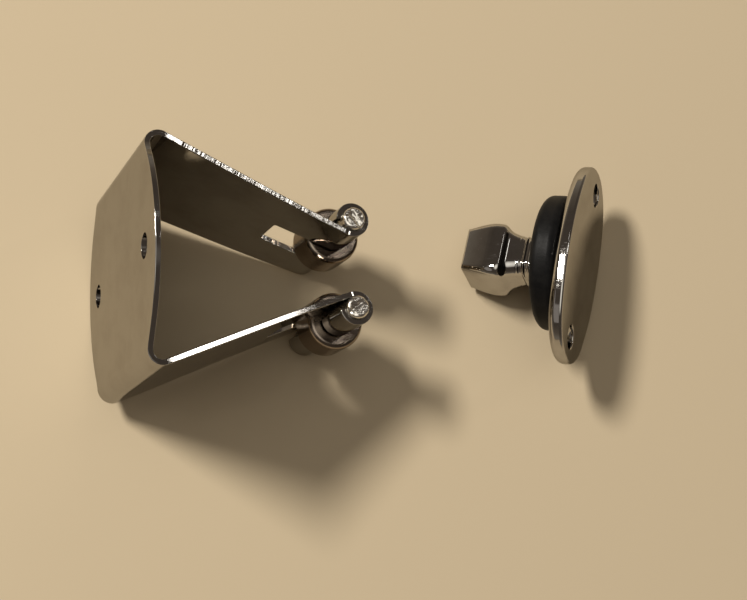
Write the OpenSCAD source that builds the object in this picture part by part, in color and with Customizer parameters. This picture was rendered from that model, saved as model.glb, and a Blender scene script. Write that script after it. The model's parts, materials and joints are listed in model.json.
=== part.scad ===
// Door holder in two halves: a folded spring clip with two rollers, and a cast strike with a rubber bumper.
// Both halves lie on the floor plane z = 0, each tipped as far as its own sizes let it tip.

/* [Spring clip] */
// Thickness of the strip
strip_t = 0.8; // [0.7:0.05:1]
// Length of the base between the outer faces of the two bends
base_length = 32; // [29:0.5:36]
// Width of the base across its two rounded ears
ear_width = 41.4; // [40:0.2:44]
// Width of the strip at the two bends
root_width = 30.8; // [29:0.2:33]
// Width of the strip at the curled tips
tip_width = 22.6; // [20.6:0.2:24]
// Inside radius of the two bends
bend_r = 1.3; // [1:0.1:1.8]
// Lean of each arm towards the other where it leaves its bend, in degrees
arm_lean = 22.2; // [21.4:0.1:23]
// Angle by which each arm straightens again towards its tip, in degrees
arm_bow = 2; // [1:0.5:4]
// Length of the flat part of each arm
arm_flat = 16.6; // [15:0.2:18]
// Length of the bowed part of each arm
arm_bowed = 13; // [11:0.5:15]
// Angle that each tip is curled around its pin, in degrees
curl_turn = 290; // [280:5:300]
// Diameter of the two screw holes in the base
clip_hole_d = 3.5; // [3:0.1:4.2]
// Distance between the two screw holes in the base
clip_hole_pitch = 29.2; // [28:0.2:31]

/* [Rollers and pins] */
// Diameter of each roller pin
pin_d = 3.3; // [2.9:0.1:3.6]
// Length of pin that stands out past the near edge of the strip
pin_proud = 0.9; // [0.6:0.1:1.2]
// Length of pin that stands out past the far edge of the strip
pin_tail = 0.2; // [0.1:0.1:0.4]
// Chamfer on both ends of each pin
pin_chamfer = 0.2; // [0.1:0.05:0.3]
// Diameter of each roller
roller_d = 8.4; // [8:0.1:8.8]
// Width of each roller
roller_w = 6.1; // [5.4:0.1:6.4]
// Radius of the rounded roller edges
roller_edge = 0.7; // [0.5:0.1:1]
// Running clearance between a roller bore and its pin, on the radius
roller_play = 0.05; // [0.03:0.01:0.08]
// Clearance between a roller and each side of its window
roller_side = 0.5; // [0.4:0.05:0.7]
// Open length of the window between its end and the roller
window_open = 4.7; // [3.5:0.1:5.5]

/* [Strike] */
// Length of the oval plate
plate_length = 31.6; // [30:0.2:34]
// Width of the oval plate
plate_width = 20; // [19:0.2:22]
// Radius of the two ends of the oval plate
plate_end_r = 8.5; // [7.6:0.1:9]
// Thickness of the plate
plate_t = 2.2; // [2.1:0.1:2.6]
// Chamfer on the front rim of the plate
rim_front = 0.95; // [0.8:0.05:1.05]
// Side of the square head
head_side = 9; // [8.6:0.1:9.6]
// Length of the head from its shoulder to the nose
head_length = 7.1; // [6.8:0.1:8]
// Length of the flat sides of the head behind their curve
head_flat = 1.5; // [1:0.1:2]
// Side of the square where the curved sides of the head meet its rounded end
end_side = 7; // [6.4:0.1:7.4]
// Radius of the rounded end of the head
end_r = 6; // [5:0.5:8]
// Side of the square neck
neck_side = 6.6; // [6:0.1:7.2]
// Length of the neck between the bumper and the shoulder
neck_length = 6; // [5.6:0.1:7]
// Length of the slope between shoulder and neck
shoulder_slope = 2.4; // [2:0.1:3]
// Diameter of the two screw holes in the plate
strike_hole_d = 3.6; // [3.2:0.1:4]
// Distance between the two screw holes in the plate
strike_hole_pitch = 24.2; // [23.6:0.1:24.8]
// Depth of the countersink at the front of each screw hole
sink_depth = 0.7; // [0.5:0.1:0.9]

/* [Rubber bumper] */
// Outside diameter of the bumper ring
bumper_d = 20.6; // [19.6:0.2:21.4]
// Thickness of the bumper ring
bumper_t = 3.8; // [3.4:0.1:4.2]
// Radius of the rounded edges of the bumper ring
bumper_edge = 1.2; // [0.9:0.1:1.4]
// Clearance between the bumper hole and the corners of the neck
bumper_play = 0.05; // [0.05:0.05:0.2]

/* [Layout] */
// Free distance between the rollers and the nose of the strike
mouth_gap = 18; // [14:0.1:20]
// Sideways offset of the nose from the middle line of the clip
strike_shift = 5.4; // [3:0.1:8]
// Turn of the strike away from the middle line of the clip, in degrees
strike_turn = -12.2; // [-16:0.1:-10]
// Roll of the strike about its own length, in degrees
strike_roll = -10; // [-12:0.5:-4]

/* [Hidden] */
$fn = 96;
eps = 0.01;
// Length by which the parts of the strip run into each other
lap = 0.02;
// Length of the bevelled tongue at the end of the flat part of an arm
tongue = strip_t / 4;
// Length past the strip that its cutting outlines reach
reach = 10 * strip_t;
bend_out = bend_r + strip_t;
flat_half = base_length / 2 - bend_out;
// Circle of each ear, through the ends of the bend line and the tip of the ear
ear_rise = (ear_width - root_width) / 2;
ear_r = (flat_half * flat_half + ear_rise * ear_rise) / (2 * ear_rise);
// Outer face of an arm where the bend ends, and where the flat part ends
lean_on = [cos(arm_lean), -sin(arm_lean)];
lean_out = [sin(arm_lean), cos(arm_lean)];
arm_a = [bend_out, flat_half] + bend_out * lean_out;
arm_b = arm_a + arm_flat * lean_on;
// Bowed part, an arc around a centre on the outer side
bow_r = arm_bowed / (arm_bow * PI / 180);
bow_c = arm_b + bow_r * lean_out;
tip_lean = arm_lean - arm_bow;
lap_turn = lap / bow_r * 180 / PI;
tip_out = [sin(tip_lean), cos(tip_lean)];
lap_out = [sin(tip_lean - lap_turn), cos(tip_lean - lap_turn)];
arm_c = bow_c - bow_r * tip_out;
pin_r = pin_d / 2;
pin_c = arm_c + pin_r * tip_out;
curl_out = pin_r + strip_t;
roller_r = roller_d / 2;
window_w = roller_w + 2 * roller_side;
window_x = pin_c[0] - roller_r - window_open;
pin_far = tip_width / 2 + pin_tail;
pin_near = tip_width / 2 + pin_proud;
// Tip of the clip: it lies on the lower ear, and on the lower edges of both curls or the ends of both pins
clip_tip = min(
    atan((ear_width / 2 - tip_width / 2) / (pin_c[0] + curl_out - strip_t)),
    atan((ear_width / 2 - pin_far) / (pin_c[0] + pin_r - pin_chamfer - strip_t))
);
clip_height = strip_t * sin(clip_tip) + ear_width / 2 * cos(clip_tip);
clip_back = ear_width / 2 * sin(clip_tip);
// Four arcs of the oval plate; the end arcs are a little larger so that they run into the side arcs
rim_lap = 0.03;
end_c = plate_length / 2 - plate_end_r;
half_w = plate_width / 2;
side_bulge = half_w - plate_end_r;
side_d = (end_c * end_c - side_bulge * side_bulge) / (2 * side_bulge);
side_r = half_w + side_d;
side_y = end_c * side_r / (side_r - plate_end_r);
// Stations along the strike, measured forward from the rear face
bumper_x = plate_t + bumper_t;
shoulder_x = bumper_x + neck_length;
nose_x = shoulder_x + head_length;
head_h = head_side / 2;
neck_h = neck_side / 2;
curve_x = shoulder_x + head_flat;
// Circle of the head sides, level where the curve starts and running to the corners of the rounded end
end_h = end_side / 2;
corner_x = nose_x - end_r + sqrt(end_r * end_r - end_h * end_h);
curve_run = corner_x - curve_x;
curve_fall = head_h - end_h;
curve_r = (curve_run * curve_run + curve_fall * curve_fall) / (2 * curve_fall);
curve_d = curve_r - head_h;
curve_turn = asin(curve_run / curve_r);
// Half extent of the oval plate seen along a direction in its own plane, y and z parts of the direction
function oval_reach(y, z) = y * side_d > z * end_c ?
    (end_c - rim_lap) * y + (plate_end_r + rim_lap) * norm([y, z]) :
    side_r * norm([y, z]) - side_d * z;
// Tip of the strike: it lies on the bumper ring or the plate rim behind, and on the curve of the head in front
rim_x = plate_t - rim_front;
rim_low = oval_reach(abs(sin(strike_roll)), cos(strike_roll));
ring_x = bumper_x - bumper_edge;
ring_low = bumper_d / 2 - bumper_edge;
head_roll = cos(strike_roll) + abs(sin(strike_roll));
function rear_low(tip) = max(
    ring_x * sin(tip) + ring_low * cos(tip) + bumper_edge,
    rim_x * sin(tip) + rim_low * cos(tip)
);
// Angle along the curve of the head where it lies on the floor, at most the corner of the rounded end
function rest_turn(tip) = min(atan2(sin(tip), head_roll * cos(tip)), curve_turn);
function head_low(tip) = (curve_x + curve_r * sin(rest_turn(tip))) * sin(tip)
    + head_roll * (curve_r * cos(rest_turn(tip)) - curve_d) * cos(tip);
// Halves the range of the tip until both ends lie on the floor
function rest_tip(low, high, steps) = steps == 0 ? (low + high) / 2 :
    rear_low((low + high) / 2) > head_low((low + high) / 2) ?
    rest_tip((low + high) / 2, high, steps - 1) :
    rest_tip(low, (low + high) / 2, steps - 1);
strike_tip = rest_tip(0, 60, 40);
strike_height = rear_low(strike_tip);
// Half extents of the turned and rolled plate along the floor
turn_s = sin(strike_turn);
turn_c = cos(strike_turn);
roll_s = sin(strike_roll);
roll_c = cos(strike_roll);
tip_s = sin(strike_tip);
plate_reach_x = oval_reach(
    abs(roll_c * turn_s + roll_s * tip_s * turn_c),
    abs(roll_s * turn_s - roll_c * tip_s * turn_c)
);
plate_reach_y = oval_reach(
    abs(roll_c * turn_c - roll_s * tip_s * turn_s),
    abs(roll_s * turn_c + roll_c * tip_s * turn_s)
);
// Middle of the rear face of the strike, from the middle of the clip base
clip_front = pin_c[0] * cos(clip_tip) + roller_r;
strike_x = clip_front + mouth_gap + nose_x * cos(strike_tip) * turn_c;
strike_y = strike_shift + nose_x * cos(strike_tip) * turn_s;
// Middle of everything, which becomes the origin
front_y = max(base_length / 2, strike_y + plate_reach_y - rim_x * cos(strike_tip) * turn_s);
rear_y = min(-base_length / 2, strike_y - plate_reach_y);
middle_x = (strike_x + plate_reach_x - clip_back) / 2;
middle_y = (front_y + rear_y) / 2;

// Places something drawn in the frame of the clip, where x runs from the base to the tips
module place_clip() {
    translate([-middle_x, -middle_y, clip_height])
        rotate([0, clip_tip, 0])
            children();
}

// Places something drawn in the frame of the strike, where x runs from the nose to the rear face
module place_strike() {
    translate([strike_x - middle_x, strike_y - middle_y, strike_height])
        rotate([0, 0, strike_turn])
            rotate([0, -strike_tip, 0])
                rotate([strike_roll, 0, 0])
                    children();
}

// Bend between the base and the upper arm, along the width of the strip
module bend_piece() {
    translate([bend_out, flat_half, 0])
        intersection() {
            difference() {
                cylinder(h = ear_width, r = bend_out, center = true);
                cylinder(h = ear_width + 2, r = bend_r, center = true);
            }
            linear_extrude(ear_width + 2, center = true)
                polygon([[0, 0], [-reach, 0], [-reach, reach], [reach * tan(arm_lean), reach]]);
        }
}

// Flat part of the upper arm, with a bevelled tongue that runs into the bowed part
module flat_piece() {
    linear_extrude(ear_width, center = true)
        polygon([
            arm_a - lap * lean_on,
            arm_b,
            arm_b + tongue * (lean_on - lean_out),
            arm_b + tongue * (lean_on + lean_out) - strip_t * lean_out,
            arm_b - strip_t * lean_out,
            arm_a - lap * lean_on - strip_t * lean_out
        ]);
}

// Bowed part of the upper arm
module bow_piece() {
    translate([bow_c[0], bow_c[1], 0])
        intersection() {
            difference() {
                cylinder(h = ear_width, r = bow_r + strip_t, center = true, $fn = 360);
                cylinder(h = ear_width + 2, r = bow_r, center = true, $fn = 360);
            }
            linear_extrude(ear_width + 2, center = true)
                polygon([[0, 0], -2 * bow_r * lean_out, -2 * bow_r * lap_out]);
        }
}

// Curl around the upper pin
module curl_piece() {
    translate([pin_c[0], pin_c[1], 0])
        rotate([0, 0, -tip_lean])
            difference() {
                cylinder(h = ear_width, r = curl_out, center = true);
                cylinder(h = ear_width + 2, r = pin_r, center = true);
                linear_extrude(ear_width + 2, center = true)
                    polygon([[0, 0], [0, -reach], [-reach, -reach], [-reach, -reach * tan(curl_turn - 270)]]);
            }
}

// Upper bend and arm with its curl, still as wide as the ears
module arm_piece() {
    bend_piece();
    flat_piece();
    bow_piece();
    curl_piece();
}

// The whole folded strip, still as wide as the ears
module strip_piece() {
    translate([0, -flat_half - lap, -ear_width / 2])
        cube([strip_t, 2 * flat_half + 2 * lap, ear_width]);
    arm_piece();
    mirror([0, 1, 0])
        arm_piece();
}

// Outline of the base with its two rounded ears, y across and z up
module ear_outline() {
    intersection() {
        union() {
            translate([0, ear_width / 2 - ear_r])
                circle(r = ear_r, $fn = 180);
            translate([0, ear_r - ear_width / 2])
                circle(r = ear_r, $fn = 180);
        }
        square([2 * flat_half, ear_width + 2], center = true);
    }
}

// Space that the strip may fill: ears at the base, a taper along the arms
module strip_widths() {
    rotate([90, 0, 90])
        translate([0, 0, -1])
            linear_extrude(1 + strip_t)
                ear_outline();
    rotate([90, 0, 0])
        linear_extrude(base_length + 2, center = true)
            polygon([
                [-1, -root_width / 2],
                [bend_out, -root_width / 2],
                [arm_c[0], -tip_width / 2],
                [arm_c[0] + reach, -tip_width / 2],
                [arm_c[0] + reach, tip_width / 2],
                [arm_c[0], tip_width / 2],
                [bend_out, root_width / 2],
                [-1, root_width / 2]
            ]);
}

// The folded strip, one piece with its arms, windows and curled tips
module clip_body() {
    difference() {
        intersection() {
            strip_piece();
            strip_widths();
        }
        translate([window_x, -base_length / 2, -window_w / 2])
            cube([pin_c[0] + curl_out + 2 - window_x, base_length, window_w]);
        for (side = [-1, 1])
            translate([-1, 0, side * clip_hole_pitch / 2])
                rotate([0, 90, 0])
                    cylinder(h = strip_t + 2, d = clip_hole_d);
    }
}

// A pin with chamfered ends, along the width of the strip
module pin_body() {
    translate([0, 0, -pin_far])
        cylinder(h = pin_chamfer, r1 = pin_r - pin_chamfer, r2 = pin_r);
    translate([0, 0, pin_chamfer - pin_far])
        cylinder(h = pin_far + pin_near - 2 * pin_chamfer, r = pin_r);
    translate([0, 0, pin_near - pin_chamfer])
        cylinder(h = pin_chamfer, r1 = pin_r, r2 = pin_r - pin_chamfer);
}

// Half section of a wheel with rounded edges: bore, rim radius, half width, edge radius
module wheel_section(bore, rim, half, edge) {
    translate([bore, -half])
        square([rim - edge - bore, 2 * half]);
    translate([bore, edge - half])
        square([rim - bore, 2 * half - 2 * edge]);
    translate([rim - edge, half - edge])
        circle(r = edge);
    translate([rim - edge, edge - half])
        circle(r = edge);
}

// A roller with its bore, along the width of the strip
module roller_body() {
    rotate_extrude()
        wheel_section(pin_r + roller_play, roller_r, roller_w / 2, roller_edge);
}

// A disc with a chamfered front rim, rear face at z = 0
module rim_disc(r) {
    cylinder(h = plate_t - rim_front, r = r);
    translate([0, 0, plate_t - rim_front])
        cylinder(h = rim_front, r1 = r, r2 = r - rim_front);
}

// The oval plate, built lying on its rear face with its length along y
module oval_plate() {
    for (side = [-1, 1])
        translate([0, side * (end_c - rim_lap), 0])
            rim_disc(plate_end_r + rim_lap);
    intersection() {
        translate([side_d, 0, 0])
            rim_disc(side_r);
        translate([-side_d, 0, 0])
            rim_disc(side_r);
        translate([-half_w - 1, -side_y, -1])
            cube([plate_width + 2, 2 * side_y, plate_t + 2]);
    }
}

// Side outline of neck, shoulder and head, forward along x
module stud_outline() {
    polygon([
        [plate_t - eps, -neck_h],
        [shoulder_x - shoulder_slope, -neck_h],
        [shoulder_x - shoulder_slope / 3, -neck_h - (head_h - neck_h) / 3],
        [shoulder_x, -head_h],
        [curve_x, -head_h],
        [curve_x, head_h],
        [shoulder_x, head_h],
        [shoulder_x - shoulder_slope / 3, neck_h + (head_h - neck_h) / 3],
        [shoulder_x - shoulder_slope, neck_h],
        [plate_t - eps, neck_h]
    ]);
    intersection() {
        translate([curve_x, curve_d])
            circle(r = curve_r, $fn = 180);
        translate([curve_x, -curve_d])
            circle(r = curve_r, $fn = 180);
        translate([nose_x - end_r, 0])
            circle(r = end_r, $fn = 180);
        translate([curve_x - eps, -head_h])
            square([head_length, head_side]);
    }
}

// Neck and head, square in section
module stud_body() {
    intersection() {
        linear_extrude(head_side + 2, center = true)
            stud_outline();
        rotate([90, 0, 0])
            linear_extrude(head_side + 2, center = true)
                stud_outline();
    }
}

// The cast strike, one piece with its plate, neck and head, forward along x
module strike_body() {
    difference() {
        union() {
            rotate([0, 90, 0])
                oval_plate();
            stud_body();
        }
        for (side = [-1, 1])
            translate([0, side * strike_hole_pitch / 2, 0])
                rotate([0, 90, 0]) {
                    translate([0, 0, -1])
                        cylinder(h = plate_t + 2, d = strike_hole_d);
                    translate([0, 0, plate_t - sink_depth])
                        cylinder(h = sink_depth + eps, r1 = strike_hole_d / 2, r2 = strike_hole_d / 2 + sink_depth);
                }
    }
}

module spring_clip() {
    color("silver")
        place_clip()
            clip_body();
}

module upper_roller_pin() {
    color("gainsboro")
        place_clip()
            translate([pin_c[0], pin_c[1], 0])
                pin_body();
}

module lower_roller_pin() {
    color("gainsboro")
        place_clip()
            translate([pin_c[0], -pin_c[1], 0])
                pin_body();
}

module upper_roller() {
    color("lightgray")
        place_clip()
            translate([pin_c[0], pin_c[1], 0])
                roller_body();
}

module lower_roller() {
    color("lightgray")
        place_clip()
            translate([pin_c[0], -pin_c[1], 0])
                roller_body();
}

module strike() {
    color("silver")
        place_strike()
            rotate([0, 0, 180])
                strike_body();
}

module rubber_bumper() {
    color([0.09, 0.09, 0.1])
        place_strike()
            translate([-plate_t - bumper_t / 2, 0, 0])
                rotate([0, 90, 0])
                    rotate_extrude()
                        wheel_section(neck_h * sqrt(2) + bumper_play, bumper_d / 2, bumper_t / 2, bumper_edge);
}

spring_clip();
upper_roller_pin();
lower_roller_pin();
upper_roller();
lower_roller();
strike();
rubber_bumper();
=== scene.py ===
import json
import math

import bpy
import numpy as np
from mathutils import Matrix, Vector
from mathutils.geometry import delaunay_2d_cdt


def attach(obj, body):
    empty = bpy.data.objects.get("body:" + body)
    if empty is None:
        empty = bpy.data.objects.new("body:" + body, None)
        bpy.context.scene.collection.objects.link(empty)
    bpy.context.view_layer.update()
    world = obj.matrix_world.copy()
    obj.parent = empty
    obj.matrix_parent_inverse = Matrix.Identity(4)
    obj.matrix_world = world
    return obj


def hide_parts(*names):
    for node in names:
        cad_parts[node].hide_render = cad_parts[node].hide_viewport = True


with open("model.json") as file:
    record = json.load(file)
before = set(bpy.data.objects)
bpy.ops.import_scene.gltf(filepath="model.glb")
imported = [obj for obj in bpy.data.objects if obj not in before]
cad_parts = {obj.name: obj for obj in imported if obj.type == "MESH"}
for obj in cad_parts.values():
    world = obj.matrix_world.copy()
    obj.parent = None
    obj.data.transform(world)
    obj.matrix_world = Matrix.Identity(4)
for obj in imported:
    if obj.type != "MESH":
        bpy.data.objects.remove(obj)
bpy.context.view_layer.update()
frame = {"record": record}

RECORD = frame["record"]
MM = 0.001
QUARTER = math.pi / 2
# millimetres within which two flat points are one
NEAR = 1e-6
# least length that a vector is divided by
TINY = 1e-12
HOLE_POINTS = 56
PIN_SEGMENTS = 72
ROLLER_SEGMENTS = 96
BUMPER_SEGMENTS = 128

# Sizes of the part in millimetres, as in its source
STRIP_T = 0.8
BASE_LENGTH = 32.0
EAR_WIDTH = 41.4
ROOT_WIDTH = 30.8
TIP_WIDTH = 22.6
BEND_R = 1.3
ARM_LEAN = math.radians(22.2)
ARM_BOW = math.radians(2.0)
ARM_FLAT = 16.6
ARM_BOWED = 13.0
CURL_TURN = math.radians(290.0)
CLIP_HOLE_R = 1.75
CLIP_HOLE_PITCH = 29.2
PIN_R = 1.65
PIN_PROUD = 0.9
PIN_TAIL = 0.2
ROLLER_R = 4.2
ROLLER_W = 6.1
ROLLER_EDGE = 0.7
ROLLER_PLAY = 0.05
ROLLER_SIDE = 0.5
WINDOW_OPEN = 4.7
PLATE_LENGTH = 31.6
PLATE_WIDTH = 20.0
PLATE_END_R = 8.5
PLATE_T = 2.2
HEAD_H = 4.5
HEAD_LENGTH = 7.1
HEAD_FLAT = 1.5
END_H = 3.5
END_R = 6.0
NECK_H = 3.3
NECK_LENGTH = 6.0
SHOULDER_SLOPE = 2.4
STRIKE_HOLE_R = 1.8
STRIKE_HOLE_PITCH = 24.2
SINK_DEPTH = 0.7
BUMPER_R = 10.3
BUMPER_T = 3.8
BUMPER_EDGE = 1.2
BUMPER_PLAY = 0.05


# ---------------------------------------------------------------- frames of the two halves
def unit(v):
    return np.asarray(v, float) / np.linalg.norm(v)


def unit_rows(v):
    """Every vector along the last axis scaled to length 1."""
    return v / np.maximum(np.linalg.norm(v, axis=-1, keepdims=True), TINY)


MOUNTS = {m["name"]: m for m in RECORD["mounts"]}
JOINTS = {j["name"]: j for j in RECORD["behaviour"]["joints"]}


def axes_matrix(origin_m, x_axis, z_axis):
    """4x4 matrix from millimetres in a half's own frame to metres in the row frame."""
    x = unit(x_axis)
    z = unit(np.asarray(z_axis) - np.dot(z_axis, x) * x)
    y = np.cross(z, x)
    m = np.eye(4)
    m[:3, 0], m[:3, 1], m[:3, 2] = x * MM, y * MM, z * MM
    m[:3, 3] = origin_m
    return m


clip_x = -np.array(MOUNTS["clip_base"]["axis"])
CLIP = axes_matrix(MOUNTS["clip_base"]["pos_m"], clip_x, JOINTS["upper_roller_spin"]["axis"])
strike_x = np.array(MOUNTS["strike_rear"]["axis"])
strike_holes = [MOUNTS["strike_screw_" + end]["pos_m"] for end in ("upper", "lower")]
strike_y = unit(np.subtract(*strike_holes))
STRIKE = axes_matrix(MOUNTS["strike_rear"]["pos_m"], strike_x, np.cross(strike_x, strike_y))


# ---------------------------------------------------------------- mesh helpers
def make_piece(name, verts, normals, faces, place, uvs=None):
    """A smooth object from vertices and normals in a half's own frame. Faces are turned to agree with
    the normals."""
    verts = np.asarray(verts, float)
    normals = np.asarray(normals, float)
    rot = place[:3, :3] / MM
    world = verts @ place[:3, :3].T + place[:3, 3]
    wn = unit_rows(normals @ rot.T)
    kept = []
    for f in faces:
        f = [int(i) for i in f]
        p = world[f]
        n = np.cross(p[1] - p[0], p[2] - p[0])
        if len(f) == 4:
            n = n + np.cross(p[2] - p[0], p[3] - p[0])
        if np.dot(n, wn[f].sum(0)) < 0:
            f = f[::-1]
        kept.append(f)
    mesh = bpy.data.meshes.new(name)
    mesh.from_pydata(world.tolist(), [], kept)
    mesh.update()
    mesh.polygons.foreach_set("use_smooth", [True] * len(mesh.polygons))
    if uvs is not None:
        layer = mesh.uv_layers.new(name="UVMap")
        idx = np.zeros(len(mesh.loops), np.int32)
        mesh.loops.foreach_get("vertex_index", idx)
        layer.data.foreach_set("uv", np.asarray(uvs, np.float32)[idx].ravel())
    mesh.normals_split_custom_set_from_vertices([tuple(n) for n in wn])
    obj = bpy.data.objects.new(name, mesh)
    bpy.context.scene.collection.objects.link(obj)
    return obj


def arc2(cx, cy, r, a0, a1, n):
    """Points on an arc, angles in degrees."""
    a = np.radians(np.linspace(a0, a1, n))
    return [(cx + r * math.cos(t), cy + r * math.sin(t)) for t in a]


def inside(points, loop):
    """Even-odd test of many points against one closed loop."""
    x, y = points[:, 0], points[:, 1]
    lx, ly = loop[:, 0], loop[:, 1]
    jx, jy = np.roll(lx, 1), np.roll(ly, 1)
    hit = np.zeros(len(points), bool)
    for ax, ay, bx, by in zip(lx, ly, jx, jy):
        if ay == by:
            continue
        c = ((ay > y) != (by > y)) & (x < (bx - ax) * (y - ay) / (by - ay) + ax)
        hit ^= c
    return hit


def loop_normals(loop):
    """Left-hand normals of a closed loop of points."""
    d = np.roll(loop, -1, axis=0) - np.roll(loop, 1, axis=0)
    return unit_rows(np.column_stack([-d[:, 1], d[:, 0]]))


def circle(u, v, r):
    """Points around a round hole."""
    a = np.radians(np.linspace(0, 360, HOLE_POINTS, endpoint=False))
    return np.column_stack([u + r * np.cos(a), v + r * np.sin(a)])


def half_edge(r, thick, steps, face):
    """Rounded edge of the upper face (1) or the lower face (-1) of a sheet, in downward order: rows of
    (inset, height, outward part, upward part)."""
    ends = (0, QUARTER) if face > 0 else (QUARTER, 0)
    rows = []
    for a in np.linspace(*ends, steps):
        s, c = math.sin(a), math.cos(a)
        rows.append((r * (1 - s), face * (thick / 2 - r * (1 - c)), s, face * c))
    return rows


def round_edge(r_top, r_low, thick, top_steps, low_steps):
    """Whole edge of a sheet, from the upper face to the lower face."""
    return half_edge(r_top, thick, top_steps, 1) + half_edge(r_low, thick, low_steps, -1)


def sheet_piece(loops, profiles, grid, mapper, low_hole=()):
    """Closed sheet over a flat outline: the first loop is the outside, the others are holes, and every
    loop runs with the outside of the material on its left. low_hole is left open in the lower face alone,
    and its points come last of the edge points. mapper turns (u, v, height) and a direction there into
    space. Gives vertices, normals, faces, the flat points with their outward part, and the numbers of the
    low_hole points."""
    height, part, base = [], [], []
    starts = []
    for loop, profile in zip(loops, profiles):
        nrm = loop_normals(loop)
        starts.append(len(base))
        for inset, h, out, up in profile:
            for p, n in zip(loop, nrm):
                base.append(p - n * inset)
                height.append(h)
                part.append((n[0] * out, n[1] * out, up))
    open_ring = list(range(len(base), len(base) + len(low_hole)))
    for p in low_hole:
        base.append(p)
        height.append(profiles[0][-1][1])
        part.append((0.0, 0.0, -1.0))
    base = [tuple(b) for b in base]
    faces = []
    tops, lows = [], []
    for loop, profile, start in zip(loops, profiles, starts):
        m, k = len(loop), len(profile)
        for r in range(k - 1):
            for j in range(m):
                a, b = start + r * m + j, start + r * m + (j + 1) % m
                faces.append((a, b, b + m, a + m))
        tops.append(list(range(start, start + m)))
        lows.append(list(range(start + (k - 1) * m, start + k * m)))
    if open_ring:
        lows.append(open_ring)
    for rings, up in ((tops, 1.0), (lows, -1.0)):
        ids = [i for ring in rings for i in ring]
        pts = [base[i] for i in ids]
        edges, o = [], 0
        for ring in rings:
            m = len(ring)
            edges += [(o + j, o + (j + 1) % m) for j in range(m)]
            o += m
        outer = np.array([base[i] for i in rings[0]])
        free = grid[inside(grid, outer)]
        for ring in rings[1:]:
            hole = np.array([base[i] for i in ring])
            free = free[~inside(free, hole)]
        h = height[rings[0][0]]
        first = len(base)
        for p in free:
            base.append((float(p[0]), float(p[1])))
            height.append(h)
            part.append((0.0, 0.0, up))
        ids += list(range(first, len(base)))
        pts += [(float(p[0]), float(p[1])) for p in free]
        out_v, _, out_f, orig, _, _ = delaunay_2d_cdt([Vector(p) for p in pts], edges, [], 0, NEAR)
        back = [ids[old[0]] if old else -1 for old in orig]
        cen = np.array([np.mean([out_v[i][:] for i in f], axis=0) for f in out_f])
        ok = inside(cen, outer)
        for ring in rings[1:]:
            ok &= ~inside(cen, np.array([base[i] for i in ring]))
        for f, good in zip(out_f, ok):
            g = [back[i] for i in f]
            if good and min(g) >= 0:
                faces.append(g)
    base, part = np.array(base), np.array(part)
    verts, normals = mapper(base, np.array(height), part)
    flat = np.column_stack([base, np.hypot(part[:, 0], part[:, 1])])
    return verts, normals, faces, flat, open_ring


def lathe(profile, segments, closed=True):
    """Vertices, normals, faces and UVs of a turned piece about z. profile is a list of (r, z, nr, nz), and
    a row on the axis becomes one vertex."""
    turns = np.linspace(0, 2 * math.pi, segments, endpoint=False)
    verts, normals, uvs, rings = [], [], [], []
    length = 0.0
    for k, (r, z, nr, nz) in enumerate(profile):
        if k:
            length += math.hypot(r - profile[k - 1][0], z - profile[k - 1][1])
        around = turns if r > 0 else turns[:1]
        rings.append(range(len(verts), len(verts) + len(around)))
        for a in around:
            verts.append((r * math.cos(a), r * math.sin(a), z))
            normals.append((nr * math.cos(a), nr * math.sin(a), nz))
            uvs.append((a / (2 * math.pi), length))
    faces = []
    for p, q in zip(rings, rings[1:] + (rings[:1] if closed else [])):
        for j in range(segments):
            i = (j + 1) % segments
            quad = (p[j % len(p)], p[i % len(p)], q[i % len(q)], q[j % len(q)])
            faces.append(list(dict.fromkeys(quad)))
    return np.array(verts), np.array(normals), faces, np.array(uvs)


def turned(points, radii, steps, closed=True):
    """Turns an (r, z) outline with rounded corners into lathe rows with outward normals. The outline runs
    so that the outside lies on its left. The two ends of an open outline stay as they are."""
    pts = [np.array(p, float) for p in points]
    rows = []
    n = len(pts)
    for i in range(n):
        p, a, b = pts[i], pts[i - 1], pts[(i + 1) % n]
        da, db = unit(a - p), unit(b - p)
        na = np.array([da[1], -da[0]])
        nb = np.array([-db[1], db[0]])
        if not closed and i in (0, n - 1):
            rows.append((*p, *(na if i else nb)))
            continue
        r = radii[i]
        half = math.acos(max(-1.0, min(1.0, float(np.dot(da, db))))) / 2
        centre = p + unit(da + db) * (r / math.sin(half))
        side = math.copysign(1.0, np.dot(na, p + da * r / math.tan(half) - centre))
        a0 = math.atan2(*(side * na)[::-1])
        a1 = math.atan2(*(side * nb)[::-1])
        a1 -= 2 * math.pi * round((a1 - a0) / (2 * math.pi))
        for t in np.linspace(a0, a1, steps):
            d = np.array([math.cos(t), math.sin(t)])
            rows.append((*(centre + r * d), *(side * d)))
    return rows


# ---------------------------------------------------------------- spring clip
BEND_OUT = BEND_R + STRIP_T
FLAT_HALF = BASE_LENGTH / 2 - BEND_OUT
MID_BEND = BEND_R + STRIP_T / 2
LEAN_ON = np.array([math.cos(ARM_LEAN), -math.sin(ARM_LEAN)])
LEAN_OUT = np.array([math.sin(ARM_LEAN), math.cos(ARM_LEAN)])
BEND_C = np.array([BEND_OUT, FLAT_HALF])
ARM_A = BEND_C + BEND_OUT * LEAN_OUT
ARM_B = ARM_A + ARM_FLAT * LEAN_ON
BOW_R = ARM_BOWED / ARM_BOW
BOW_C = ARM_B + BOW_R * LEAN_OUT
TIP_LEAN = ARM_LEAN - ARM_BOW
TIP_OUT = np.array([math.sin(TIP_LEAN), math.cos(TIP_LEAN)])
TIP_ON = np.array([math.cos(TIP_LEAN), -math.sin(TIP_LEAN)])
ARM_C = BOW_C - BOW_R * TIP_OUT
PIN_C = ARM_C + PIN_R * TIP_OUT
BEND_TURN = QUARTER + ARM_LEAN
BOW_MID = BOW_R + STRIP_T / 2
CURL_MID = PIN_R + STRIP_T / 2
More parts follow.
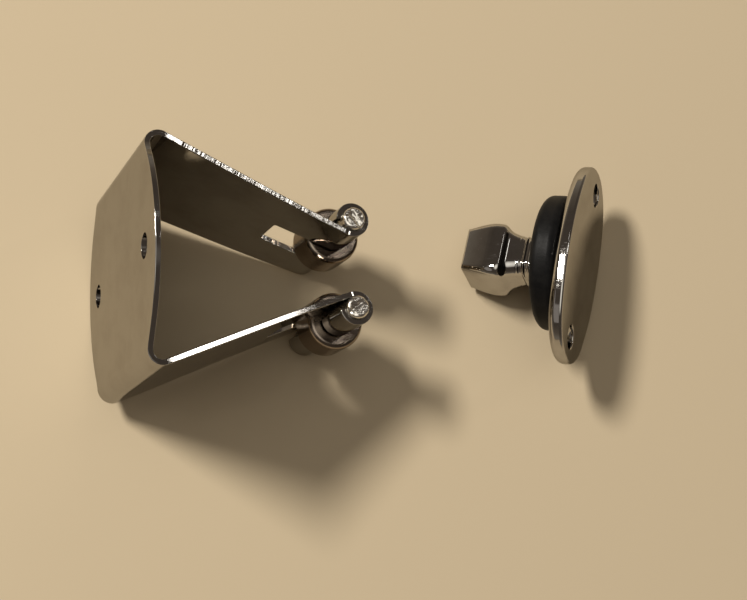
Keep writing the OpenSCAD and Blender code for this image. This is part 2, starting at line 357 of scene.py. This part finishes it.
LENGTHS = [FLAT_HALF, MID_BEND * BEND_TURN, ARM_FLAT, BOW_MID * ARM_BOW, CURL_MID * CURL_TURN]
STOPS = np.concatenate([[0], np.cumsum(LENGTHS)])
REACH = STOPS[-1]
WINDOW_X = PIN_C[0] - ROLLER_R - WINDOW_OPEN
WINDOW_HALF = ROLLER_W / 2 + ROLLER_SIDE
STATION_COUNTS = [24, 26, 18, 16, 64]
STRIP_EDGE_R = 0.12
HOLE_EDGE_R = 0.06
TIP_CORNER_R = 0.45
# inner points of the sheet: how many across it, and their distance from edges and windows
ARM_ACROSS = 17
CURL_ACROSS = 13
CURL_BEFORE = 0.5
GRID_CLEAR = 0.35
WINDOW_CLEAR = 0.3
WALL_AFTER = 0.5
# the corner where an ear meets a bend is softened over this length
SOFT_BEFORE = 4
SOFT_AFTER = 3
SOFT_SPREAD = 1.3
SOFT_D = np.linspace(-3.0, 3.0, 31)
SOFT_W = np.exp(-(SOFT_D / SOFT_SPREAD) ** 2)
# the shear marks begin this far beyond the bend
SHEAR_START = 3.0


def path(s):
    """Middle line of the upper half of the strip: point, tangent and outward normal at length s from the
    middle of the base."""
    if s <= STOPS[1]:
        return np.array([STRIP_T / 2, s]), np.array([0.0, 1.0]), np.array([-1.0, 0.0])
    if s <= STOPS[2]:
        a = (s - STOPS[1]) / MID_BEND
        n = np.array([-math.cos(a), math.sin(a)])
        return BEND_C + MID_BEND * n, np.array([math.sin(a), math.cos(a)]), n
    if s <= STOPS[3]:
        return ARM_A - STRIP_T / 2 * LEAN_OUT + (s - STOPS[2]) * LEAN_ON, LEAN_ON, LEAN_OUT
    if s <= STOPS[4]:
        a = ARM_LEAN - (s - STOPS[3]) / BOW_MID
        n = np.array([math.sin(a), math.cos(a)])
        return BOW_C - BOW_MID * n, np.array([math.cos(a), -math.sin(a)]), n
    a = (s - STOPS[4]) / CURL_MID
    n = TIP_OUT * math.cos(a) - TIP_ON * math.sin(a)
    return PIN_C - CURL_MID * n, TIP_ON * math.cos(a) + TIP_OUT * math.sin(a), n


def half_width(s):
    """Half width of the strip at length s from the middle of the base."""
    s = abs(s)
    if s <= STOPS[1]:
        rise = (EAR_WIDTH - ROOT_WIDTH) / 2
        r = (FLAT_HALF ** 2 + rise ** 2) / (2 * rise)
        return EAR_WIDTH / 2 - r + math.sqrt(r * r - s * s)
    if s <= STOPS[2]:
        return ROOT_WIDTH / 2
    if s > STOPS[4]:
        return TIP_WIDTH / 2
    x = path(s)[0][0]
    return ROOT_WIDTH / 2 + (TIP_WIDTH - ROOT_WIDTH) / 2 * (x - BEND_OUT) / (ARM_C[0] - BEND_OUT)


def strip_mapper(base, height, part):
    """Folds the flat strip; flat coordinates are the length along it and z."""
    verts, normals = [], []
    for (s, w), h, (ns, nw, up) in zip(base, height, part):
        side = 1.0 if s >= 0 else -1.0
        p, t, n = path(abs(s))
        q = p + h * n
        d = ns * side * t + up * n
        verts.append((q[0], side * q[1], w))
        normals.append((d[0], side * d[1], nw))
    return np.array(verts), np.array(normals)


def window_start():
    """Length along the strip where its middle line reaches the window's end."""
    lo, hi = STOPS[2], STOPS[4]
    for _ in range(60):
        mid = (lo + hi) / 2
        if path(mid)[0][0] < WINDOW_X:
            lo = mid
        else:
            hi = mid
    return lo


def soft_half_width(s):
    """Half width, averaged along the strip near the corner of an ear."""
    if STOPS[1] - SOFT_BEFORE < s < STOPS[2] + SOFT_AFTER:
        return np.average([half_width(s + d) for d in SOFT_D], weights=SOFT_W)
    return half_width(s)


def tip_points(s_w, wall):
    """Outline of an arm's two knuckles and of the window between them, from the upper edge to the lower."""
    r, wide, slot = TIP_CORNER_R, TIP_WIDTH / 2, WINDOW_HALF
    end, corner_n, end_n, slot_n = REACH - r, 6, 14, 12
    pts = arc2(end, wide - r, r, 90, 0, corner_n)
    pts += [(REACH, w) for w in np.linspace(wide - r, slot + r, end_n)[1:-1]]
    pts += arc2(end, slot + r, r, 0, -90, corner_n)
    pts += [(s, slot) for s in wall[::-1][1:]]
    pts += arc2(s_w + r, slot - r, r, 90, 180, corner_n)
    pts += [(s_w, w) for w in np.linspace(slot - r, r - slot, slot_n)[1:-1]]
    pts += arc2(s_w + r, r - slot, r, 180, 270, corner_n)
    pts += [(s, -slot) for s in wall[:-1]]
    pts += arc2(end, -slot - r, r, 90, 0, corner_n)
    pts += [(REACH, w) for w in np.linspace(-slot - r, r - wide, end_n)[1:-1]]
    pts += arc2(end, r - wide, r, 0, -90, corner_n)
    return pts


def strip_grid(stations, widths, s_w):
    """Points inside the flat strip, clear of its edges, its holes and the windows."""
    slot = WINDOW_HALF + STRIP_EDGE_R
    grid = []
    for s, w in zip(stations, widths):
        across = CURL_ACROSS if s > STOPS[4] - CURL_BEFORE else ARM_ACROSS
        for f in np.linspace(-1, 1, across):
            v = f * (w - STRIP_EDGE_R - GRID_CLEAR)
            in_window = s > s_w - STRIP_EDGE_R - GRID_CLEAR and abs(v) < slot + WINDOW_CLEAR
            to_hole = math.hypot(s, abs(v) - CLIP_HOLE_PITCH / 2)
            if in_window or to_hole < CLIP_HOLE_R + STRIP_EDGE_R + GRID_CLEAR:
                continue
            grid.append((s, v))
            if s > NEAR:
                grid.append((-s, v))
        if s > s_w + WALL_AFTER:
            for v in (slot + GRID_CLEAR, -slot - GRID_CLEAR):
                grid += [(s, v), (-s, v)]
    return np.array(grid)


def build_clip():
    """The whole strip, laid out flat and folded by strip_mapper."""
    spans = zip(STOPS[:-1], STOPS[1:], STATION_COUNTS)
    stations = np.concatenate([np.linspace(a, b, n, endpoint=False) for a, b, n in spans])
    end = REACH - TIP_CORNER_R
    stations = np.append(stations[stations <= end], end)
    widths = [soft_half_width(s) for s in stations]
    s_w = window_start()
    near = list(zip(stations, widths))[:-1]
    tip = tip_points(s_w, stations[stations > s_w + TIP_CORNER_R])
    right = near + tip + [(s, -w) for s, w in near[::-1]]
    left = [(-s, w) for s, w in right[::-1]]
    outer = [(0.0, widths[0])] + [q for q in right if q[0] > NEAR]
    outer += [(0.0, -widths[0])] + [q for q in left if q[0] < -NEAR]
    holes = [circle(0.0, side * CLIP_HOLE_PITCH / 2, CLIP_HOLE_R) for side in (1, -1)]
    edge = round_edge(STRIP_EDGE_R, STRIP_EDGE_R, STRIP_T, 5, 5)
    hole_edge = round_edge(HOLE_EDGE_R, HOLE_EDGE_R, STRIP_T, 4, 4)
    grid = strip_grid(stations, widths, s_w)
    return sheet_piece([np.array(outer)] + holes, [edge, hole_edge, hole_edge], grid, strip_mapper)


verts, normals, faces, flat, _ = build_clip()
# the upper arm's edge is sheared: U runs along the strip in millimetres, V is 1 on that edge
on_arm = (flat[:, 0] > STOPS[2] + SHEAR_START) & (flat[:, 0] < STOPS[4])
sheared = np.where(on_arm, flat[:, 2], 0.0)
clip = make_piece("clip_strip", verts, normals, faces, CLIP, np.column_stack([flat[:, 0], sheared]))
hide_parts("spring_clip")
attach(clip, "clip")

# ---------------------------------------------------------------- pins and rollers
PIN_FAR = TIP_WIDTH / 2 + PIN_TAIL
PIN_NEAR = TIP_WIDTH / 2 + PIN_PROUD
PIN_END_R = 0.5
PIN_FAR_R = 0.2
PIN_END_RINGS = 18
# dents of the hammered end: how many, and the ranges of their places, radii and depths
DENTS = 16
DENT_REACH = 1.3
DENT_R = (0.24, 0.45)
DENT_DEPTH = (0.06, 0.15)
GROOVE_DEPTH = 0.16
GROOVE_HALF = 0.3
GROOVE_OFF = 0.15
ROLLER_BORE_EDGE = 0.25


def at_pin(side):
    """Frame of the upper (1) or lower (-1) pin, its axis along z."""
    m = CLIP.copy()
    m[:3, 3] = (CLIP @ np.array([PIN_C[0], side * PIN_C[1], 0, 1]))[:3]
    return m


def build_pin(seed, groove_turn):
    """A pin with a rounded far end and a hammered near end with one chisel mark across it."""
    outline = [(0, PIN_NEAR), (PIN_R, PIN_NEAR), (PIN_R, -PIN_FAR), (0, -PIN_FAR)]
    rows = turned(outline, [0, PIN_END_R, PIN_FAR_R, 0], 8, closed=False)
    first, second = np.array(rows[0]), np.array(rows[1])
    end = [tuple(first + (second - first) * t) for t in np.linspace(0, 1, PIN_END_RINGS)]
    rows = end + rows[2:]
    v, n, f, uv = lathe(rows, PIN_SEGMENTS, closed=False)
    rng = np.random.default_rng(seed)
    sink = np.zeros(len(v))
    slope = np.zeros((len(v), 2))
    for _ in range(DENTS):
        cx, cy = rng.uniform(-DENT_REACH, DENT_REACH, 2)
        r, depth = rng.uniform(*DENT_R), rng.uniform(*DENT_DEPTH)
        dx, dy = v[:, 0] - cx, v[:, 1] - cy
        dent = depth * np.exp(-(dx ** 2 + dy ** 2) / r ** 2)
        sink += dent
        slope += (dent * 2 / r ** 2)[:, None] * np.column_stack([dx, dy])
    across = np.array([math.cos(groove_turn), math.sin(groove_turn)])
    off = v[:, :2] @ across - GROOVE_OFF
    groove = GROOVE_DEPTH * np.exp(-(off / GROOVE_HALF) ** 2)
    sink += groove
    slope += (groove * 2 * off / GROOVE_HALF ** 2)[:, None] * across
    top = v[:, 2] > PIN_NEAR - PIN_END_R - 0.01
    v[top, 2] -= sink[top]
    n[top, :2] -= slope[top] * np.maximum(n[top, 2:3], 0)
    return v, n, f, uv


bore, half_w = PIN_R + ROLLER_PLAY, ROLLER_W / 2
roller_outline = [(bore, -half_w), (bore, half_w), (ROLLER_R, half_w), (ROLLER_R, -half_w)]
roller_edges = [ROLLER_BORE_EDGE, ROLLER_BORE_EDGE, ROLLER_EDGE, ROLLER_EDGE]
for label, side, seed, groove in (("upper", 1, 3, 0.5), ("lower", -1, 8, 2.2)):
    v, n, f, uv = build_pin(seed, groove)
    pin = make_piece(label + "_pin_turned", v, n, f, at_pin(side), uv)
    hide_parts(label + "_roller_pin")
    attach(pin, "clip")
    v, n, f, uv = lathe(turned(roller_outline, roller_edges, 10), ROLLER_SEGMENTS)
    roller = make_piece(label + "_roller_turned", v, n, f, at_pin(side), uv)
    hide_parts(label + "_roller")
    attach(roller, label + "_wheel")

# ---------------------------------------------------------------- strike
BUMPER_X = PLATE_T + BUMPER_T
SHOULDER_X = BUMPER_X + NECK_LENGTH
NOSE_X = SHOULDER_X + HEAD_LENGTH
PLATE_REAR_EDGE = 0.45
PLATE_FRONT_EDGE = 1.1
STRIKE_HOLE_EDGE = 0.2
SINK_LIP = 0.01
# inner points of the plate: the part of the oval that they fill, and their distance from the holes
PLATE_GRID_PART = 0.8
PLATE_GRID_CLEAR = 0.6
# bends of the head's sides and of its end: 1 is straight
TAPER_POWER = 1.35
END_POWER = 1.1
CURVE_POINTS = 30
# lengths over which the outline is smoothed, on the shoulder and on the rest of the head; the first sets in
# this far in front of the plate, and the second this far in front of the head's flat part
SHOULDER_SPREAD = 0.55
HEAD_SPREAD = 0.16
SHOULDER_FROM = 1
HEAD_FROM = 0.8
SMOOTH_STEP = 0.03
SMOOTH_PAD = 45
# filed marks on the neck: depth, length of a wave, start; and how they fade out at each end: offset, length
FILE_MARKS = ((0.05, 0.83, 0.0), (0.03, 0.47, 1.1))
FADE_REAR = (0.1, 0.5)
FADE_FRONT = (0.2, 0.8)
# radius of the head's long edges at the shoulder, how much less it is at the nose and more on the neck
CORNER_R = 1.6
CORNER_LESS = 1.0
CORNER_MORE = 0.2
# part of the half size that is rounded off at the edge of the head's end
END_CORNER = 0.14
BLUNT_POWER = 1.5
# a corner's radius stays below the half size
MOST_ROUND = 0.999


def oval_loop(n=220):
    """Outline of the plate in its own plane, the outside on the left."""
    end_c = PLATE_LENGTH / 2 - PLATE_END_R
    half = PLATE_WIDTH / 2
    bulge = half - PLATE_END_R
    side_d = (end_c ** 2 - bulge ** 2) / (2 * bulge)
    side_r = half + side_d
    pts = []
    for a in np.linspace(2 * math.pi, 0, n, endpoint=False):
        y, z = math.cos(a), math.sin(a)
        ay, az = abs(y), abs(z)
        if ay * side_d > az * end_c:
            p = (end_c + PLATE_END_R * ay, PLATE_END_R * az)
        else:
            p = (side_r * ay, side_r * az - side_d)
        pts.append((math.copysign(p[0], y), math.copysign(p[1], z)))
    pts = np.array(pts)
    # even spacing along the outline
    closed = np.vstack([pts, pts[:1]])
    d = np.concatenate([[0], np.cumsum(np.linalg.norm(np.diff(closed, axis=0), axis=1))])
    t = np.linspace(0, d[-1], n, endpoint=False)
    return np.column_stack([np.interp(t, d, closed[:, 0]), np.interp(t, d, closed[:, 1])])


def plate_mapper(base, height, part):
    """Rear face at x = 0, front face at x = -PLATE_T; flat coordinates are y and z."""
    verts = np.column_stack([height - PLATE_T / 2, base[:, 0], base[:, 1]])
    normals = np.column_stack([part[:, 2], part[:, 0], part[:, 1]])
    return verts, normals


def build_plate(low_hole):
    """The oval plate; the stud stands on its low_hole."""
    rim = round_edge(PLATE_REAR_EDGE, PLATE_FRONT_EDGE, PLATE_T, 6, 12)
    hole = half_edge(STRIKE_HOLE_EDGE, PLATE_T, 5, 1)
    sink_top, slant = SINK_DEPTH - PLATE_T / 2, math.sqrt(0.5)
    for t in (0.0, 0.5, 1.0):
        hole.append((t * SINK_DEPTH, sink_top - t * SINK_DEPTH, slant, -slant))
    hole.append((SINK_DEPTH + SINK_LIP, -PLATE_T / 2, 0.0, -1.0))
    loops = [oval_loop()]
    loops += [circle(side * STRIKE_HOLE_PITCH / 2, 0.0, STRIKE_HOLE_R) for side in (1, -1)]
    y, z = (a.ravel() for a in np.meshgrid(np.linspace(-15, 15, 25), np.linspace(-9, 9, 13)))
    to_hole = np.hypot(np.abs(y) - STRIKE_HOLE_PITCH / 2, z)
    inner = np.hypot(y / (PLATE_LENGTH / 2), z / (PLATE_WIDTH / 2)) < PLATE_GRID_PART
    clear = to_hole > STRIKE_HOLE_R + SINK_DEPTH + PLATE_GRID_CLEAR
    grid = np.column_stack([y, z])[clear & inner]
    return sheet_piece(loops, [rim, hole, hole], grid, plate_mapper, low_hole)


def stud_profile():
    """Stations along the stud: distance forward from the rear face and half size, with softened shoulders
    and filed marks on the neck. The place of the nose comes last."""
    curve_x = SHOULDER_X + HEAD_FLAT
    corner_x = NOSE_X - END_R + math.sqrt(END_R ** 2 - END_H ** 2)
    slope_x = SHOULDER_X - SHOULDER_SLOPE
    run, fall = corner_x - curve_x, HEAD_H - END_H
    pts = [(PLATE_T, NECK_H), (slope_x, NECK_H),
           (SHOULDER_X - SHOULDER_SLOPE / 3, NECK_H + (HEAD_H - NECK_H) / 3), (SHOULDER_X, HEAD_H)]
    for t in np.linspace(0, 1, CURVE_POINTS):
        pts.append((curve_x + run * t, HEAD_H - fall * t ** TAPER_POWER))
    for t in np.linspace(1, 0, CURVE_POINTS)[1:]:
        pts.append((corner_x + (NOSE_X - corner_x) * (1 - t ** END_POWER), END_H * t))
    pts = np.array(pts)
    d = np.concatenate([[0], np.cumsum(np.hypot(*np.diff(pts, axis=0).T))])
    t = np.linspace(0, d[-1], int(d[-1] / SMOOTH_STEP))
    x, h = np.interp(t, d, pts[:, 0]), np.interp(t, d, pts[:, 1])
    # beyond the nose the outline goes on as its own mirror image
    pad = SMOOTH_PAD
    long_x = np.concatenate([np.full(pad, x[0]), x, x[-2:-2 - pad:-1]])
    long_h = np.concatenate([np.full(pad, h[0]), h, -h[-2:-2 - pad:-1]])
    raw_x, raw_h = x.copy(), h.copy()
    on_head = raw_x >= curve_x + HEAD_FROM
    on_shoulder = np.clip(raw_x - PLATE_T - SHOULDER_FROM, 0, 1) * ~on_head
    for spread, mix in ((SHOULDER_SPREAD, on_shoulder), (HEAD_SPREAD, on_head)):
        w = np.exp(-(np.arange(-pad, pad + 1) * SMOOTH_STEP / spread) ** 2)
        w /= w.sum()
        x = x + (np.convolve(long_x, w, mode="valid") - raw_x) * mix
        h = h + (np.convolve(long_h, w, mode="valid") - raw_h) * mix
    rear_fade = np.clip((x - BUMPER_X - FADE_REAR[0]) / FADE_REAR[1], 0, 1)
    front_fade = np.clip((slope_x + FADE_FRONT[0] - x) / FADE_FRONT[1], 0, 1)
    for depth, wave, start in FILE_MARKS:
        h = h + rear_fade * front_fade * depth * (np.sin(2 * math.pi * x / wave + start) - 1)
    # closer stations before the shoulder than after it
    keep = np.unique(np.concatenate([np.where(x < SHOULDER_X)[0][::2], np.arange(0, len(x), 4)]))
    return x[keep][:-1], h[keep][:-1], x[-1]


def square_ring(half, corner, side_n=8, corner_n=9):
    """Points (y, z) around a square with rounded corners."""
    ring = []
    f = half - corner
    for q in range(4):
        turn = q * QUARTER
        c, s = round(math.cos(turn)), round(math.sin(turn))
        for a in np.linspace(0, QUARTER, corner_n):
            u, w = f + corner * math.cos(a), f + corner * math.sin(a)
            ring.append((u * c - w * s, u * s + w * c))
        for t in np.linspace(f, -f, side_n + 1)[1:-1]:
            ring.append((t * c - half * s, t * s + half * c))
    return ring


def build_strike():
    """The plate and the stud as one closed mesh; the plate's front shares the first ring of the stud."""
    x, h, nose = stud_profile()
    blunt = np.clip(1 - h / END_H, 0, 1) * (x > SHOULDER_X + HEAD_FLAT)
    rear = np.clip((SHOULDER_X - x) / SHOULDER_SLOPE, 0, 1)
    front = np.clip((x - SHOULDER_X) / HEAD_LENGTH, 0, 1)
    corner = CORNER_R - CORNER_LESS * front + CORNER_MORE * rear
    rounder = np.minimum(corner, END_CORNER * h) + (1 - END_CORNER) * h * blunt ** BLUNT_POWER
    corner = np.where(blunt > 0, rounder, corner)
    corner = np.minimum(corner, MOST_ROUND * h)
    rows = [[(-xx, y, z) for y, z in square_ring(hh, cc)] for xx, hh, cc in zip(x, h, corner)]
    m = len(rows[0])
    rows.append([(-nose, 0.0, 0.0)] * m)
    p = np.array(rows)
    n = np.cross(np.roll(p, -1, axis=1) - np.roll(p, 1, axis=1), -np.gradient(p, axis=0))
    n = unit_rows(n * np.sign((n[:-1, :, 1:] * p[:-1, :, 1:]).sum()))
    verts, normals, faces, _, ring = build_plate([tuple(q) for q in p[0, :, 1:]])
    normals[ring] += n[0]
    rings = [ring]
    for k in range(1, len(p) - 1):
        rings.append(list(range(len(verts) + (k - 1) * m, len(verts) + k * m)))
    tip = len(verts) + (len(p) - 2) * m
    for a, b in zip(rings, rings[1:]):
        faces += [(a[j], a[(j + 1) % m], b[(j + 1) % m], b[j]) for j in range(m)]
    faces += [(rings[-1][j], rings[-1][(j + 1) % m], tip) for j in range(m)]
    verts = np.vstack([verts, p[1:-1].reshape(-1, 3), [(-nose, 0, 0)]])
    normals = np.vstack([normals, n[1:-1].reshape(-1, 3), [(-1, 0, 0)]])
    return verts, normals, faces


verts, normals, faces = build_strike()
strike = make_piece("strike_casting", verts, normals, faces, STRIKE)
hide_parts("strike")
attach(strike, "strike_half")

# rubber ring around the neck
BUMPER_BORE_EDGE = 0.3
turn = np.eye(4)
turn[:3, 0], turn[:3, 1], turn[:3, 2] = (0, 1, 0), (0, 0, 1), (1, 0, 0)
turn[:3, 3] = (-PLATE_T - BUMPER_T / 2, 0, 0)
ring_place = STRIKE @ turn
bore = NECK_H * math.sqrt(2) + BUMPER_PLAY
half_t = BUMPER_T / 2
outline = [(bore, -half_t), (bore, half_t), (BUMPER_R, half_t), (BUMPER_R, -half_t)]
edges = [BUMPER_BORE_EDGE, BUMPER_BORE_EDGE, BUMPER_EDGE, BUMPER_EDGE]
v, n, f, uv = lathe(turned(outline, edges, 12), BUMPER_SEGMENTS)
ring = make_piece("bumper_ring", v, n, f, ring_place, uv)
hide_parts("rubber_bumper")
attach(ring, "strike_half")


# ---------------------------------------------------------------- materials
def new_material(name):
    m = bpy.data.materials.new(name)
    m.use_nodes = True
    nt = m.node_tree
    return m, nt, nt.nodes["Principled BSDF"]


def noise(nt, vector, scale, detail, rough):
    n = nt.nodes.new("ShaderNodeTexNoise")
    n.inputs["Scale"].default_value = scale
    n.inputs["Detail"].default_value = detail
    n.inputs["Roughness"].default_value = rough
    nt.links.new(vector, n.inputs["Vector"])
    return n.outputs["Fac"]


def ramp(nt, source, stops):
    r = nt.nodes.new("ShaderNodeValToRGB")
    while len(r.color_ramp.elements) < len(stops):
        r.color_ramp.elements.new(0.5)
    for e, (pos, col) in zip(r.color_ramp.elements, stops):
        e.position = pos
        e.color = (*col, 1)
    nt.links.new(source, r.inputs["Fac"])
    return r.outputs["Color"]


def grey(v):
    return (v, v, v)


def bump(nt, height, strength, distance, below=None):
    b = nt.nodes.new("ShaderNodeBump")
    b.inputs["Strength"].default_value = strength
    b.inputs["Distance"].default_value = distance
    nt.links.new(height, b.inputs["Height"])
    if below is not None:
        nt.links.new(below, b.inputs["Normal"])
    return b.outputs["Normal"]


def stretched_noise(nt, vector, scale, turn=(0.0, 0.0, 0.0), detail=3.0):
    stretch = nt.nodes.new("ShaderNodeMapping")
    stretch.inputs["Rotation"].default_value = turn
    stretch.inputs["Scale"].default_value = scale
    nt.links.new(vector, stretch.inputs["Vector"])
    return noise(nt, stretch.outputs["Vector"], 1.0, detail, 0.6)


def chrome(name, light, dark, rough, wave, marks=None):
    """Polished plating: faint stains, hairline scratches and a slight waviness. marks adds shear marks on
    the edges whose V is 1, or turning marks around the piece."""
    m, nt, bsdf = new_material(name)
    bsdf.inputs["Metallic"].default_value = 1.0
    bsdf.inputs["Specular Tint"].default_value = (0.60, 0.585, 0.56, 1)
    place = nt.nodes.new("ShaderNodeTexCoord").outputs["Object"]
    stain = noise(nt, place, 170.0, 6.0, 0.62)
    nt.links.new(ramp(nt, stain, [(0.36, dark), (0.56, light)]), bsdf.inputs["Base Color"])
    scratch = stretched_noise(nt, place, (180.0, 5200.0, 900.0), (0.3, 0.5, 0.9))
    sheen = ramp(nt, scratch, [(0.60, grey(rough)), (0.72, grey(rough + 0.16))])
    nt.links.new(sheen, bsdf.inputs["Roughness"])
    normal = bump(nt, noise(nt, place, 130.0, 2.0, 0.5), wave, 0.0004)
    normal = bump(nt, scratch, 0.06, 0.00004, normal)
    if marks:
        uv_node = nt.nodes.new("ShaderNodeUVMap")
        uv_node.uv_map = "UVMap"
        uv = uv_node.outputs["UV"]
        if marks == "shear":
            sep = nt.nodes.new("ShaderNodeSeparateXYZ")
            nt.links.new(uv, sep.inputs["Vector"])
            on_edge = nt.nodes.new("ShaderNodeMath")
            on_edge.operation = "MULTIPLY"
            nt.links.new(stretched_noise(nt, uv, (3.2, 0.3, 1.0), detail=2.0), on_edge.inputs[0])
            nt.links.new(sep.outputs["Y"], on_edge.inputs[1])
            normal = bump(nt, on_edge.outputs["Value"], 1.0, 0.00012, normal)
        else:
            turning = stretched_noise(nt, uv, (3.0, 40.0, 1.0), detail=4.0)
            normal = bump(nt, turning, 0.15, 0.00008, normal)
    nt.links.new(normal, bsdf.inputs["Normal"])
    return m


def rubber(name):
    """Moulded black rubber: fine grain, dusty patches and a soft sheen."""
    m, nt, bsdf = new_material(name)
    place = nt.nodes.new("ShaderNodeTexCoord").outputs["Object"]
    bsdf.inputs["Specular IOR Level"].default_value = 0.1
    dust = noise(nt, place, 420.0, 7.0, 0.7)
    black = ramp(nt, dust, [(0.35, (0.004, 0.004, 0.0045)), (0.70, (0.012, 0.0115, 0.011))])
    nt.links.new(black, bsdf.inputs["Base Color"])
    sheen = ramp(nt, dust, [(0.30, grey(0.38)), (0.75, grey(0.58))])
    nt.links.new(sheen, bsdf.inputs["Roughness"])
    grain = noise(nt, place, 3200.0, 3.0, 0.6)
    nt.links.new(bump(nt, grain, 0.22, 0.00008), bsdf.inputs["Normal"])
    return m


def assign(obj, mat):
    obj.data.materials.clear()
    obj.data.materials.append(mat)


clip_mat = chrome("clip_plating", (0.50, 0.485, 0.46), (0.43, 0.41, 0.385), 0.045, 0.05, "shear")
strike_mat = chrome("strike_plating", (0.52, 0.505, 0.48), (0.44, 0.42, 0.395), 0.05, 0.04)
# the rollers' plating is darker and browner than the other plating: a painted reflection of shaded tan
# cloth, laid into the colour on top of what the metal reflects
roller_painted_reflection_mat = chrome("roller_plating_painted_reflection", (0.31, 0.26, 0.215), (0.22, 0.175, 0.135), 0.12, 0.03, "turning")
pin_mat = chrome("pin_metal", (0.88, 0.85, 0.79), (0.74, 0.70, 0.63), 0.22, 0.06)
assign(clip, clip_mat)
assign(strike, strike_mat)
for label in ("upper", "lower"):
    assign(bpy.data.objects[label + "_roller_turned"], roller_painted_reflection_mat)
    assign(bpy.data.objects[label + "_pin_turned"], pin_mat)
assign(ring, rubber("bumper_rubber_black"))

# ---------------------------------------------------------------- floor, light and camera
FLOOR_HALF = 4.0
floor_mesh = bpy.data.meshes.new("floor")
floor_corners = [(FLOOR_HALF * x, FLOOR_HALF * y, 0) for x, y in ((-1, -1), (1, -1), (1, 1), (-1, 1))]
floor_mesh.from_pydata(floor_corners, [], [(0, 1, 2, 3)])
floor = bpy.data.objects.new("floor", floor_mesh)
bpy.context.scene.collection.objects.link(floor)
floor_mat, _, floor_bsdf = new_material("floor_pale")
floor_bsdf.inputs["Base Color"].default_value = (0.56, 0.46, 0.315, 1)
floor_bsdf.inputs["Roughness"].default_value = 0.9
floor_bsdf.inputs["Specular IOR Level"].default_value = 0.2
floor.data.materials.append(floor_mat)


def area(name, place, size, power, colour, along, target=(0.0, 0.0, 0.01), shape="ELLIPSE"):
    """A lamp that faces the target, with its first axis turned along a direction."""
    data = bpy.data.lights.new(name, "AREA")
    data.shape = shape
    data.size, data.size_y = size
    data.energy = power
    data.color = colour
    o = bpy.data.objects.new(name, data)
    back = (Vector(place) - Vector(target)).normalized()
    side = Vector(along)
    side = (side - side.dot(back) * back).normalized()
    axes = Matrix((side, back.cross(side), back)).transposed()
    o.matrix_world = Matrix.Translation(Vector(place)) @ axes.to_4x4()
    bpy.context.scene.collection.objects.link(o)


ACROSS = (0.0, 1.0, 0.0)
PALE = (1.0, 0.97, 0.92)
KEY_FAR = 1.1
key_way = unit((-0.524, 0.357, 0.774))
area("key", tuple(KEY_FAR * key_way), (0.30, 0.15), 12.0, (1.0, 0.95, 0.87), ACROSS)
# two small strips that the near edges of the arms mirror, and a weak lamp for the head's near edge
CLIP_MIDDLE = (-0.012, 0.0, 0.03)
area("lower_strip", (0.403, 0.159, 0.405), (0.0654, 0.028), 0.046, PALE,
     (0.675, 0.307, -0.675), CLIP_MIDDLE, "RECTANGLE")
area("upper_strip", (0.4055, 0.1405, 0.4185), (0.104, 0.009), 0.024, PALE,
     (0.72, -0.43, -0.55), CLIP_MIDDLE, "RECTANGLE")
area("left", (-0.64, -0.22, 0.585), (0.75, 0.3), 0.12, (1.0, 0.93, 0.88), ACROSS)
# a small lamp that the rear edge of the head mirrors
area("ridge", (0.222, 0.294, 0.49), (0.075, 0.03), 0.02, PALE,
     (0.0, 1.0, -0.5), (0.024, 0.0, 0.01))

# a dark room with a bright ceiling: colours by height, from the horizon up
ROOM = [(0.0, (0.24, 0.21, 0.17)), (0.20, (0.13, 0.105, 0.08)), (0.42, (0.075, 0.06, 0.047)),
        (0.86, (0.075, 0.061, 0.05)), (0.95, (0.90, 0.85, 0.77)), (1.0, (1.30, 1.24, 1.13))]
world = bpy.data.worlds.new("studio")
bpy.context.scene.world = world
world.use_nodes = True
world_nt = world.node_tree
background = world_nt.nodes["Background"]
coord = world_nt.nodes.new("ShaderNodeTexCoord")
way = world_nt.nodes.new("ShaderNodeSeparateXYZ")
world_nt.links.new(coord.outputs["Generated"], way.inputs["Vector"])
world_nt.links.new(ramp(world_nt, way.outputs["Z"], ROOM), background.inputs["Color"])
background.inputs["Strength"].default_value = 1.0

# camera fitted to the photo together with the sizes; its focal length is in pixels of the photo
CAM_POS = Vector((-22.349, -51.477, 219.838)) * MM
RIGHT = Vector((0.99329, -0.04983, 0.10437))
DOWN = Vector((-0.02497, -0.97354, -0.22717))
FORWARD = Vector((0.11293, 0.22304, -0.96825))
FOCAL_PX = 1454.0
PHOTO_PX = 747.0
SENSOR = 36.0
cam = bpy.data.cameras.new("camera")
cam.sensor_fit = "HORIZONTAL"
cam.sensor_width = SENSOR
cam.lens = FOCAL_PX / PHOTO_PX * SENSOR
cam.clip_start = 0.005
cam_obj = bpy.data.objects.new("camera", cam)
rot = Matrix((RIGHT, -DOWN, -FORWARD)).transposed()
cam_obj.matrix_world = Matrix.Translation(CAM_POS) @ rot.to_4x4()
bpy.context.scene.collection.objects.link(cam_obj)
bpy.context.scene.camera = cam_obj
bpy.context.scene.view_settings.view_transform = "Standard"
